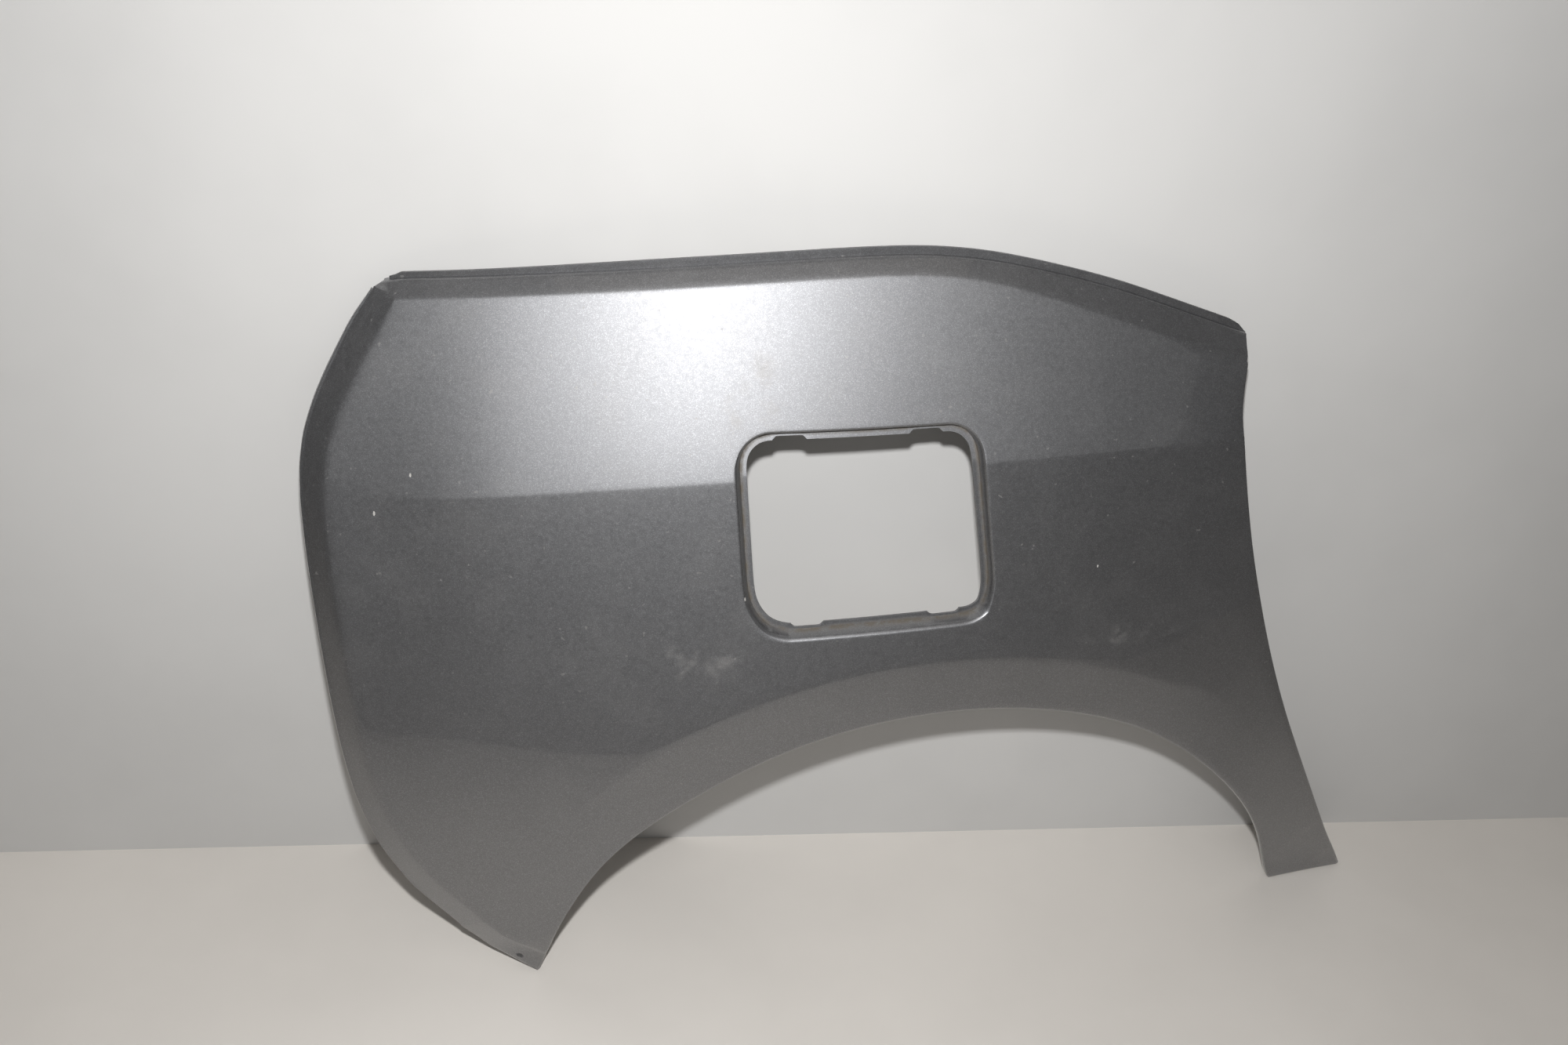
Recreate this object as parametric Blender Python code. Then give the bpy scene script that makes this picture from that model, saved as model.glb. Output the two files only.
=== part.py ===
"""Rear side panel of a small car: one moulded skin with a wheel arch, a flap opening and folded edges.

Datums while it is drawn: x runs forward from the wheel arch's centre line, z up from the line on which
the tail tip and the foot stand, and y from the outer face into the car. At the end the origin moves to
the belt pad.
"""
import math

import bmesh
import bpy
from mathutils import Vector

# Sheet
WALL = 0.0025
FOLD_RADIUS = 0.0032
CREASE_WIDTH = 0.004

# Wheel arch, angles in degrees up from the forward horizontal
ARCH_RADIUS = 0.383
ARCH_CENTRE_DROP = 0.110
ARCH_TAIL_SWELL = 0.006
ARCH_TAIL_SWELL_AT = 141.0
ARCH_TAIL_SWELL_SPREAD = 8.0
ARCH_TIP_DRAW_IN = 0.008
ARCH_TIP_DRAW_IN_AT = 164.0
ARCH_TIP_DRAW_IN_SPREAD = 9.0
FOOT_FLARE = 0.006
FOOT_FLARE_AT = 16.7
FOOT_FLARE_SPREAD = 3.0

# Lip band over the arch
LIP_BAND = 0.071
LIP_RADIUS = ARCH_RADIUS + LIP_BAND
LIP_CENTRE = (-0.007, -0.128)
LIP_SLOPE = 0.21
LIP_FADE_TAIL = (-0.345, -0.250)
LIP_FADE_FRONT = (0.160, 0.290)

# Foot of the front leg
FOOT_WIDTH = 0.091
FOOT_FOLD_HEIGHT = 0.024
FOOT_TURN_OUT = 0.0015

# Tail edge and door edge: distance outside the arch's radius, then height as a share that is 1 at the
# feature line and 2 at the shoulder
TAIL_EDGE = (
    (0.0150, 0.0399),
    (0.0650, 0.1534),
    (0.1040, 0.2835),
    (0.1300, 0.4618),
    (0.1480, 0.7486),
    (0.1580, 1.0807),
    (0.1470, 1.4740),
    (0.1180, 1.8547),
    (0.1050, 2.0064),
    (0.0900, 2.0651),
)
DOOR_EDGE = (
    (0.0290, 0.1508),
    (-0.0690, 0.4831),
    (-0.1300, 0.7638),
    (-0.1655, 0.9991),
    (-0.1700, 1.7125),
    (-0.1690, 2.3360),
)

# Chamfer band down the tail edge
BAND_WIDTH_TOP = 0.021
BAND_WIDTH_TIP = 0.030
BAND_DROP = 0.009
BAND_DROP_RISE = 0.020

# Feature line: height over the arch centre, rise towards the front, bow, and the bend across it
LINE_HEIGHT = 0.4905
LINE_RISE = 0.059
LINE_BOW = 0.103
LINE_BEND = 0.19
LINE_SOFTNESS = 0.003
LINE_WIDTH = 0.002
LINE_FADED_SOFTNESS = 0.120
LINE_FADE = (-0.520, -0.380)

# Upright section of the skin: slopes are metres inward per metre up
CROWN_HEIGHT = 0.300
SLOPE_AT_FOOT = -0.06
SLOPE_ABOVE_CROWN = 0.25

# Plan section of the skin: it wraps inward at the front and at the tail
FRONT_WRAP = 0.38
FRONT_WRAP_START = 0.050
FRONT_WRAP_RADIUS = 0.200
FRONT_WRAP_EASE = 0.6
FRONT_WRAP_END = 0.360
FRONT_WRAP_END_RADIUS = 0.120
FRONT_WRAP_LOSS = 0.66
TAIL_WRAP = 0.16
TAIL_WRAP_START = -0.250
TAIL_WRAP_RADIUS = 0.160

# Shoulder along the top, its height over the feature line
SHOULDER_HEIGHT = 0.147
SHOULDER_RISE = 0.120
SHOULDER_FALL = 0.430
SHOULDER_BEND_AT = -0.0305
SHOULDER_BEND_RADIUS = 0.060
BEVEL_RISE = (0.011, 0.019)
BEVEL_DEPTH = (0.013, 0.017)
BEVEL_WIDENS = (-0.050, 0.120)
JOGGLE_DEPTH = 0.002
JOGGLE_HEIGHT = 0.0006
FLANGE_HEIGHT = 0.007
FLANGE_STEP = 0.0015
FLANGE_TAIL_LOSS = 0.0022
FLANGE_LOSS_FROM = (-0.250, -0.450)
FLANGE_END_CUT_TAIL = 0.008
FLANGE_END_CUT_DOOR = 0.007
PAD_AT = 0.000

# Flap opening: the lower corners as x and height over the lip band, the upper ones as x and height over the
# feature line, and all the corners' radii, from the lower tail corner round the front
OPENING_LOW = ((-0.1925, 0.0197), (0.0125, 0.0350))
OPENING_HIGH = ((-0.0178, 0.0301), (-0.2098, 0.0334))
OPENING_RADII = (0.038, 0.023, 0.027, 0.026)
RECESS_DEPTH = 0.0088
RECESS_DRAFT = 0.0030
RECESS_EDGE = 0.0014
LEDGE_WIDTH = 0.0052
NOTCH_PLACES_BELOW = (0.238, 0.787)
NOTCH_PLACES_ABOVE = (0.225, 0.785)
NOTCH_LENGTH = 0.021
NOTCH_DEPTH = 0.0030
OPENING_MARGIN = 0.014

# Return flanges behind the edges
ARCH_RETURN = 0.006
SIDE_RETURN = 0.012
FOOT_RETURN = 0.014

# Mesh divisions
TAIL_CELLS = 13
MIDDLE_CELLS = 19
FRONT_CELLS = 12
LEG_CELLS = 14
NOTCH_GAP_CELLS = 5
SIDE_CELLS_LOW = 6
SIDE_CELLS_HIGH = 3

BAND_COLUMN = 3
OPENING_LEFT = BAND_COLUMN + TAIL_CELLS
OPENING_RIGHT = OPENING_LEFT + MIDDLE_CELLS
DOOR_COLUMN = OPENING_RIGHT + FRONT_CELLS
FOOT_COLUMN = DOOR_COLUMN + LEG_CELLS

PAINT_COLOUR = (0.085, 0.085, 0.090, 1.0)


def hinge(t, radius):
    """Zero before the bend, t after it, with a round bend of about this radius."""
    return 0.5 * (t + math.sqrt(t * t + radius * radius))


def ease(start, end, t):
    u = min(max((t - start) / (end - start), 0.0), 1.0)
    return u * u * (3.0 - 2.0 * u)


def bump(angle, place, spread):
    return math.exp(-(((angle - place) / spread) ** 2))


def solve(function, low, high):
    """The place between low and high where a rising function passes zero."""
    for _ in range(48):
        middle = 0.5 * (low + high)
        if function(middle) < 0.0:
            low = middle
        else:
            high = middle
    return 0.5 * (low + high)


def flat(x, z):
    return Vector((x, z))


def towards(start, end, distance):
    return start + (end - start).normalized() * distance


# The surface

def feature_line(x):
    return LINE_HEIGHT + LINE_RISE * x - LINE_BOW * x * x


def crown(z):
    """Depth of the upright section: it curves up to CROWN_HEIGHT and runs straight above it."""
    u = min(max(z / CROWN_HEIGHT, 0.0), 1.0)
    turned = CROWN_HEIGHT * (u**3 - 0.5 * u**4) + max(z - CROWN_HEIGHT, 0.0)
    return SLOPE_AT_FOOT * z + (SLOPE_ABOVE_CROWN - SLOPE_AT_FOOT) * turned


def wrap(x, z):
    """Depth of the plan section: the skin turns in towards the door and towards the tail."""
    start = hinge(x - FRONT_WRAP_START, FRONT_WRAP_RADIUS)
    end = hinge(x - FRONT_WRAP_END, FRONT_WRAP_END_RADIUS)
    front = FRONT_WRAP * (start - FRONT_WRAP_EASE * end) * (1.0 - FRONT_WRAP_LOSS * z)
    tail = TAIL_WRAP * hinge(TAIL_WRAP_START - x, TAIL_WRAP_RADIUS)
    return front + tail


def skin_depth(x, z):
    above = z - feature_line(x)
    crisp = ease(*LINE_FADE, x)
    bend = crisp * hinge(above, LINE_SOFTNESS) + (1.0 - crisp) * hinge(above, LINE_FADED_SOFTNESS)
    return crown(z) + wrap(x, z) + LINE_BEND * bend


def lip_depth(x, z):
    """How far the lip band over the arch turns in below its top line."""
    inside = LIP_RADIUS - math.hypot(x - LIP_CENTRE[0], z - LIP_CENTRE[1])
    shown = ease(*LIP_FADE_TAIL, x) * (1.0 - ease(*LIP_FADE_FRONT, x))
    return LIP_SLOPE * shown * hinge(inside, CREASE_WIDTH)


def shoulder_line(x):
    bend = hinge(x - SHOULDER_BEND_AT, SHOULDER_BEND_RADIUS)
    return LINE_HEIGHT + SHOULDER_HEIGHT + SHOULDER_RISE * x - SHOULDER_FALL * bend


def height_at(x, share):
    """The height of a share: 0 to 1 runs from the floor to the feature line, 1 to 2 on to the shoulder."""
    line = feature_line(x)
    if share < 1.0:
        return line * share
    return line + (shoulder_line(x) - line) * (share - 1.0)


def widened(pair, x):
    """A size that grows from its tail value to its front value along the shoulder."""
    return pair[0] + (pair[1] - pair[0]) * ease(*BEVEL_WIDENS, x)


# The outline

def arch_point(degrees):
    radius = ARCH_RADIUS
    radius += ARCH_TAIL_SWELL * bump(degrees, ARCH_TAIL_SWELL_AT, ARCH_TAIL_SWELL_SPREAD)
    radius -= ARCH_TIP_DRAW_IN * bump(degrees, ARCH_TIP_DRAW_IN_AT, ARCH_TIP_DRAW_IN_SPREAD)
    radius += FOOT_FLARE * bump(degrees, FOOT_FLARE_AT, FOOT_FLARE_SPREAD)
    angle = math.radians(degrees)
    return flat(radius * math.cos(angle), radius * math.sin(angle) - ARCH_CENTRE_DROP)


def lip_point(degrees):
    angle = math.radians(degrees)
    return flat(LIP_CENTRE[0] + LIP_RADIUS * math.cos(angle), LIP_CENTRE[1] + LIP_RADIUS * math.sin(angle))


def edge_points(side, edge):
    """The points of the tail edge (side -1) or of the door edge (side 1)."""
    places = [side * (ARCH_RADIUS + out) for out, _ in edge]
    return [flat(x, height_at(x, share)) for x, (_, share) in zip(places, edge)]


def smooth_curve(points, steps=24):
    """A Catmull-Rom curve through the points, as a dense list."""
    ends = [points[0] * 2.0 - points[1]] + list(points) + [points[-1] * 2.0 - points[-2]]
    curve = []
    for a, b, c, d in zip(ends, ends[1:], ends[2:], ends[3:]):
        for step in range(steps):
            t = step / steps
            low = b * 2.0 + (c - a) * t
            high = (a * 2.0 - b * 5.0 + c * 4.0 - d) * t**2 + (b * 3.0 - a - c * 3.0 + d) * t**3
            curve.append((low + high) * 0.5)
    return curve + [points[-1]]


def point_at_height(curve, z):
    """The point of a rising edge curve at height z."""
    for low, high in zip(curve, curve[1:]):
        if z <= high.y:
            break
    return low.lerp(high, (z - low.y) / (high.y - low.y))


TIP_ANGLE = solve(lambda degrees: -arch_point(degrees).y, 120.0, 179.0)
FOOT_ANGLE = solve(lambda degrees: arch_point(degrees).y, 1.0, 60.0)
TAIL_POINTS = edge_points(-1.0, TAIL_EDGE)
TAIL_CURVE = smooth_curve([arch_point(TIP_ANGLE)] + TAIL_POINTS)
FOOT_CORNER = arch_point(FOOT_ANGLE) + flat(FOOT_WIDTH, 0.0)
DOOR_POINTS = edge_points(1.0, DOOR_EDGE)
DOOR_CURVE = smooth_curve([FOOT_CORNER] + DOOR_POINTS)
TAIL_TOP = TAIL_CURVE[-1].y


def tail_normal(z):
    """The way in from the tail edge, square to it."""
    step = 0.002
    upper = point_at_height(TAIL_CURVE, min(z + step, TAIL_TOP))
    along = upper - point_at_height(TAIL_CURVE, max(z - step, 0.0))
    return flat(along.y, -along.x).normalized()


def band_points(z):
    """The edge and the three lines that round the band's inner crease, at one height of the tail edge."""
    edge = point_at_height(TAIL_CURVE, z)
    width = BAND_WIDTH_TIP + (BAND_WIDTH_TOP - BAND_WIDTH_TIP) * ease(0.0, 0.25, z)
    normal = tail_normal(z)
    reach = (0.0, width - CREASE_WIDTH, width, width + CREASE_WIDTH)
    return [edge + normal * distance for distance in reach]


# The flap opening's outline, side by side between the middles of its corners

def opening_corners():
    low = [flat(x, LIP_CENTRE[1] + LIP_RADIUS + above) for x, above in OPENING_LOW]
    return low + [flat(x, feature_line(x) + above) for x, above in OPENING_HIGH]


class OpeningSide:
    """One side of the opening, from the middle of one rounded corner to the middle of the next."""

    def __init__(self, index):
        corners = opening_corners()
        before, start, end, after = (corners[(index + k) % 4] for k in (-1, 0, 1, 2))
        self.direction = (end - start).normalized()
        self.first = self.turn(before, start, end, OPENING_RADII[index])
        self.last = self.turn(start, end, after, OPENING_RADII[(index + 1) % 4])
        self.straight = (end - start).length - self.first["tangent"] - self.last["tangent"]
        self.begin = start + self.direction * self.first["tangent"]
        self.length = self.first["arc"] + self.straight + self.last["arc"]

    @staticmethod
    def turn(before, corner, after, radius):
        bend = (corner - before).angle_signed(after - corner)
        half = abs(bend) / 2.0
        return {"radius": radius, "tangent": radius * math.tan(half), "arc": radius * half}

    def point(self, distance):
        """The outline point at this distance along the side, and the way into the opening there."""
        inward = flat(-self.direction.y, self.direction.x)
        if distance < self.first["arc"]:
            radius = self.first["radius"]
            angle = (self.first["arc"] - distance) / radius
            centre = self.begin + inward * radius
        elif distance > self.first["arc"] + self.straight:
            radius = self.last["radius"]
            angle = (self.first["arc"] + self.straight - distance) / radius
            centre = self.begin + self.direction * self.straight + inward * radius
        else:
            return self.begin + self.direction * (distance - self.first["arc"]), inward
        way_in = inward * math.cos(angle) + self.direction * math.sin(angle)
        return centre - way_in * radius, way_in


def spread(start, end, cells):
    return [start + (end - start) * k / cells for k in range(1, cells)]


def notched_stations(side, places):
    """Stations along the bottom or top side, five at each notch; the flag says that a station is notched."""
    stations = [(share * side.first["arc"], False) for share in (0.0, 0.42, 0.84)]
    chamfer = NOTCH_DEPTH
    edges = []
    for place in places:
        middle = side.first["arc"] - side.first["tangent"]
        middle += place * (side.straight + side.first["tangent"] + side.last["tangent"])
        half = NOTCH_LENGTH / 2.0
        low, high = middle - half, middle + half
        edges.append((low - chamfer, low, middle, high, high + chamfer))
    for count, notch in enumerate(edges):
        stations += [(s, k in (1, 2, 3)) for k, s in enumerate(notch)]
        if count == 0:
            stations += [(s, False) for s in spread(notch[-1], edges[1][0], NOTCH_GAP_CELLS)]
    stations += [(side.length - share * side.last["arc"], False) for share in (0.84, 0.42, 0.0)]
    return stations


def crossing_stations(side, rising):
    """Stations along an upright side, with three where the feature line crosses it."""
    def above(distance):
        point = side.point(distance)[0]
        return (point.y - feature_line(point.x)) * (1.0 if rising else -1.0)

    cross = solve(above, 0.0, side.length)
    near, far = cross - LINE_WIDTH, cross + LINE_WIDTH
    cells = (SIDE_CELLS_LOW, SIDE_CELLS_HIGH) if rising else (SIDE_CELLS_HIGH, SIDE_CELLS_LOW)
    places = [0.0] + spread(0.0, near, cells[0]) + [near, cross, far]
    places += spread(far, side.length, cells[1]) + [side.length]
    return [(s, False) for s in places]


def opening_stations():
    """All stations round the opening as (point, way in, notched), from the lower tail corner on."""
    turned = tuple(1.0 - place for place in reversed(NOTCH_PLACES_ABOVE))
    sides = [OpeningSide(k) for k in range(4)]
    lists = [
        notched_stations(sides[0], NOTCH_PLACES_BELOW),
        crossing_stations(sides[1], True),
        notched_stations(sides[2], turned),
        crossing_stations(sides[3], False),
    ]
    loop = []
    for side, stations in zip(sides, lists):
        for distance, notched in stations[:-1]:
            point, way_in = side.point(distance)
            loop.append((point, way_in, notched))
    return loop


def block_corners():
    """The opening's corners pushed out by the margin, where the plain grid ends."""
    corners = opening_corners()
    pushed = []
    for k, corner in enumerate(corners):
        before = (corner - corners[k - 1]).normalized()
        after = (corner - corners[(k + 1) % 4]).normalized()
        pushed.append(corner + (before + after) * OPENING_MARGIN)
    return pushed


# The grid: key rows from the arch to the shoulder. The lower rows go on down the leg to the foot.

def columns(band, left, right, end):
    """A row that runs from the band to the opening, across it, and on to the door edge."""
    row = list(band)
    row += [band[-1].lerp(left, k / TAIL_CELLS) for k in range(1, TAIL_CELLS + 1)]
    row += [left.lerp(right, k / MIDDLE_CELLS) for k in range(1, MIDDLE_CELLS + 1)]
    row += [right.lerp(end, k / FRONT_CELLS) for k in range(1, FRONT_CELLS + 1)]
    return row


def bearing(point, centre):
    return math.degrees(math.atan2(point.y - centre[1], point.x - centre[0]))


def radial_angles(first, joints, fold, foot):
    """Angles for the columns over the arch, from the band past the joints to the foot's fold and end."""
    places = [first] + joints + [fold]
    angles = [first]
    for start, end, count in zip(places, places[1:], (TAIL_CELLS, MIDDLE_CELLS, FRONT_CELLS, LEG_CELLS - 1)):
        angles += [start + (end - start) * k / count for k in range(1, count + 1)]
    return angles + [foot]


def low_row(corners):
    """The row just under the opening: on to the door edge, then down it to the foot's corner."""
    low_left, low_right = corners[:2]
    slope = (low_right.y - low_left.y) / (low_right.x - low_left.x)
    tail_height = low_left.y + slope * (TAIL_POINTS[4].x - low_left.x)
    door_height = low_right.y + slope * (DOOR_POINTS[2].x - low_right.x)
    end = point_at_height(DOOR_CURVE, door_height)
    row = columns(band_points(tail_height), low_left, low_right, end)
    foot = FOOT_FOLD_HEIGHT
    for k in range(1, LEG_CELLS):
        share = k / (LEG_CELLS - 1)
        row.append(point_at_height(DOOR_CURVE, door_height + (foot - door_height) * share))
    return row + [FOOT_CORNER]


def arch_row(joints):
    """The arch edge from the tail tip to the foot."""
    centre = (0.0, -ARCH_CENTRE_DROP)
    per_metre = math.degrees(1.0 / ARCH_RADIUS)
    reach = (0.0, BAND_WIDTH_TIP - CREASE_WIDTH, BAND_WIDTH_TIP, BAND_WIDTH_TIP + CREASE_WIDTH)
    band = [TIP_ANGLE - distance * per_metre for distance in reach]
    fold = solve(lambda degrees: arch_point(degrees).y - FOOT_FOLD_HEIGHT, FOOT_ANGLE, 60.0)
    angles = radial_angles(band[-1], [bearing(point, centre) for point in joints], fold, FOOT_ANGLE)
    return [arch_point(degrees) for degrees in band[:-1] + angles]


def lip_row(joints, arch, low):
    """The top line of the lip band, from the tail edge to the leg, where it fades and goes down the middle."""
    def outside(degrees):
        point = lip_point(degrees)
        return point_at_height(TAIL_CURVE, point.y).x - point.x

    start = solve(outside, 120.0, 170.0)
    band = band_points(lip_point(start).y)
    fold, foot = (math.degrees(math.asin((z - LIP_CENTRE[1]) / LIP_RADIUS)) for z in (FOOT_FOLD_HEIGHT, 0.0))
    first = bearing(band[-1], LIP_CENTRE)
    angles = radial_angles(first, [bearing(point, LIP_CENTRE) for point in joints], fold, foot)
    row = band[:-1] + [lip_point(degrees) for degrees in angles]
    row[BAND_COLUMN] = band[-1]
    for column in range(DOOR_COLUMN, FOOT_COLUMN + 1):
        middle = arch[column].lerp(low[column], 0.5)
        row[column] = row[column].lerp(middle, ease(LIP_FADE_FRONT[0], LIP_FADE_FRONT[1], row[column].x))
    return row


def line_row(corners, offset):
    """A row along the feature line, this far above it."""
    def level(x):
        return feature_line(x) + offset

    tail = solve(lambda z: z - level(point_at_height(TAIL_CURVE, z).x), 0.1, TAIL_TOP)
    door = solve(lambda z: z - level(point_at_height(DOOR_CURVE, z).x), 0.1, DOOR_CURVE[-1].y)
    low_left, low_right, high_right, high_left = corners
    left = low_left.lerp(high_left, solve(lambda t: gap(low_left.lerp(high_left, t), offset), 0.0, 1.0))
    right = low_right.lerp(high_right, solve(lambda t: gap(low_right.lerp(high_right, t), offset), 0.0, 1.0))
    row = columns(band_points(tail), left, right, point_at_height(DOOR_CURVE, door))
    return row[: BAND_COLUMN + 1] + [flat(p.x, level(p.x)) for p in row[BAND_COLUMN + 1 :]]


def gap(point, offset):
    return point.y - feature_line(point.x) - offset


def shoulder_row(below):
    """The shoulder crease, with its columns spread as in the row below it."""
    end = solve(lambda z: z - shoulder_line(point_at_height(DOOR_CURVE, z).x), 0.3, DOOR_CURVE[-1].y)
    last = point_at_height(DOOR_CURVE, end)
    edge = point_at_height(TAIL_CURVE, TAIL_TOP - BAND_WIDTH_TOP / 4.0)
    inner = edge.x + BAND_WIDTH_TOP * 0.9
    first = inner + CREASE_WIDTH
    row = [edge]
    row += [flat(x, shoulder_line(x)) for x in (inner - CREASE_WIDTH, inner)]
    start, stop = below[BAND_COLUMN].x, below[-1].x
    for point in below[BAND_COLUMN:]:
        x = first + (last.x - first) * (point.x - start) / (stop - start)
        row.append(flat(x, shoulder_line(x)))
    return row


def between(low, high, cells, square_band=True):
    """Rows between two others: the ends follow the tail and door edges, and the rest goes with them."""
    rows = []
    for k in range(1, cells):
        share = k / cells
        row = [a.lerp(b, share) for a, b in zip(low, high)]
        band = band_points(row[0].y)
        tail = band[0] - row[0]
        if square_band:
            tail = band[BAND_COLUMN] - row[BAND_COLUMN]
        door = flat(0.0, 0.0)
        if len(row) == DOOR_COLUMN + 1:
            door = point_at_height(DOOR_CURVE, row[-1].y) - row[-1]
        for column, point in enumerate(row):
            tail_share = min(max(1.0 - (column - BAND_COLUMN) / TAIL_CELLS, 0.0), 1.0) ** 2
            door_share = max((column - OPENING_RIGHT) / FRONT_CELLS, 0.0) ** 2
            row[column] = point + tail * tail_share + door * door_share
        if square_band:
            row[:BAND_COLUMN] = band[:BAND_COLUMN]
        rows.append(row)
    return rows


def moved(row, other, distance):
    return [towards(a, b, distance) for a, b in zip(row, other)]


def skin_rows():
    """All rows from the arch edge to the shoulder crease, and the row numbers that matter."""
    corners = block_corners()
    low = low_row(corners)
    joints = [low[column] for column in (OPENING_LEFT, OPENING_RIGHT, DOOR_COLUMN)]
    arch = arch_row(joints)
    lip = lip_row(joints, arch, low)
    lines = [line_row(corners, offset) for offset in (-LINE_WIDTH, 0.0, LINE_WIDTH)]
    high_right, high_left = corners[2:]
    door_shoulder = DOOR_CURVE[-1].y - BEVEL_RISE[1]
    tail_high = 0.55 * lines[1][0].y + 0.45 * TAIL_TOP
    door_high = 0.5 * lines[1][-1].y + 0.5 * door_shoulder
    high = columns(band_points(tail_high), high_left, high_right, point_at_height(DOOR_CURVE, door_high))
    shoulder = shoulder_row(high)

    under_lip = moved(lip, arch, CREASE_WIDTH)
    over_lip = moved(lip, low, CREASE_WIDTH)
    under_shoulder = moved(shoulder, high, CREASE_WIDTH)
    rows = [arch] + between(arch, under_lip, 2, False) + [under_lip, lip, over_lip]
    rows += between(over_lip, low, 6)
    marks = {"low": len(rows)}
    rows += [low] + between(low[: DOOR_COLUMN + 1], lines[0], SIDE_CELLS_LOW) + lines
    rows += between(lines[2], high, SIDE_CELLS_HIGH)
    marks["high"] = len(rows)
    rows += [high] + between(high, under_shoulder, 4) + [under_shoulder]
    marks["shoulder"] = len(rows)
    rows.append(shoulder)
    return rows, marks


def band_depth(column, z):
    """How far the band turns in at the columns beside the tail edge; it starts at the tip."""
    shares = (1.0, CREASE_WIDTH / BAND_WIDTH_TOP)
    return BAND_DROP * shares[column] * ease(0.0, BAND_DROP_RISE, z) if column < 2 else 0.0


def skin_points(rows):
    """The skin's points with their depth, row by row."""
    points = []
    for row in rows:
        line = []
        for column, place in enumerate(row):
            y = skin_depth(place.x, place.y) + lip_depth(place.x, place.y) + band_depth(column, place.y)
            if column == FOOT_COLUMN:
                y -= FOOT_TURN_OUT
            line.append(Vector((place.x, y, place.y)))
        points.append(line)
    return points


def soften(points, before, after):
    """Pull a crease point halfway in between its neighbours."""
    return points.lerp((before + after) * 0.5, 0.5)


def top_points(shoulder):
    """The chamfer above the shoulder, the joggle and the upright belt flange."""
    fold, joggle, flange, base = [], [], [], []
    for column, point in enumerate(shoulder):
        x = point.x
        share = column / BAND_COLUMN if column < BAND_COLUMN else 1.0
        depth = point.y - band_depth(column, point.z) + widened(BEVEL_DEPTH, x)
        fold.append(Vector((x, depth, shoulder_line(x) + widened(BEVEL_RISE, x))))
        if share < 1.0:
            corner = TAIL_CURVE[-1]
            inner = shoulder[BAND_COLUMN].x
            x = corner.x + (inner - corner.x) * share
            fold[-1].x = x
            fold[-1].z = corner.y + (shoulder_line(inner) + widened(BEVEL_RISE, inner) - corner.y) * share
    pad = min(range(len(fold) - 1), key=lambda k: abs(0.5 * (fold[k].x + fold[k + 1].x) - PAD_AT))
    pad_depth = 0.5 * (fold[pad].y + fold[pad + 1].y)
    for column, point in enumerate(fold):
        flat_depth = pad_depth if pad - 2 <= column <= pad + 3 else point.y
        height = FLANGE_HEIGHT - FLANGE_TAIL_LOSS * ease(*FLANGE_LOSS_FROM, point.x)
        height -= FLANGE_STEP if column < BAND_COLUMN else 0.0
        shift = 0.0
        if column == 0:
            shift = FLANGE_END_CUT_TAIL
        elif column == len(fold) - 1:
            shift = -FLANGE_END_CUT_DOOR
        joggle.append(Vector((point.x, flat_depth + JOGGLE_DEPTH, point.z + JOGGLE_HEIGHT)))
        flange.append(Vector((point.x + shift, flat_depth + JOGGLE_DEPTH, point.z + height)))
    chamfer = [[a.lerp(b, share) for a, b in zip(shoulder, fold)] for share in (0.22, 0.6)]
    return chamfer + [fold, joggle, flange], pad


def sheet_points():
    """Every point of the sheet, row by row, with the row numbers that matter and the pad's column."""
    rows, marks = skin_rows()
    points = skin_points(rows)
    top, pad = top_points(points[-1])
    points[-1] = [soften(p, a, b) for p, a, b in zip(points[-1], points[-2], top[0])]
    points += top
    for row in points[: marks["shoulder"]]:
        row[2] = soften(row[2], row[1], row[3])
    return points, marks, pad


# Mesh

def make_grid(mesh, points):
    """A plain grid whose vertices are moved to the sheet's points; it has no cells over the leg's end."""
    across, up = FOOT_COLUMN, len(points) - 1
    made = bmesh.ops.create_grid(mesh, x_segments=across, y_segments=up, size=1.0)
    grid = {}
    for vertex in made["verts"]:
        column = round((vertex.co.x + 1.0) * 0.5 * across)
        row = round((vertex.co.y + 1.0) * 0.5 * up)
        grid[column, row] = vertex
    beyond = [vertex for (column, row), vertex in grid.items() if column >= len(points[row])]
    grid = {key: vertex for key, vertex in grid.items() if key[0] < len(points[key[1]])}
    bmesh.ops.delete(mesh, geom=beyond, context="VERTS")
    for (column, row), vertex in grid.items():
        vertex.co = points[row][column]
    return grid


def drawn_on(mesh, chain, places, closed=False):
    """Extrude a chain of open edges to new places, one for each vertex, and return the new chain."""
    ahead = chain[1:] + chain[:1] if closed else chain[1:]
    edges = [next(e for e in a.link_edges if e.other_vert(a) is b) for a, b in zip(chain, ahead)]
    old = set(chain)
    made = bmesh.ops.extrude_edge_only(mesh, edges=edges)["geom"]
    found = {}
    for vertex in made:
        if isinstance(vertex, bmesh.types.BMVert):
            source = next(e.other_vert(vertex) for e in vertex.link_edges if e.other_vert(vertex) in old)
            found[source] = vertex
    fresh = [found[vertex] for vertex in chain]
    for vertex, place in zip(fresh, places):
        vertex.co = place
    return fresh


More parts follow.
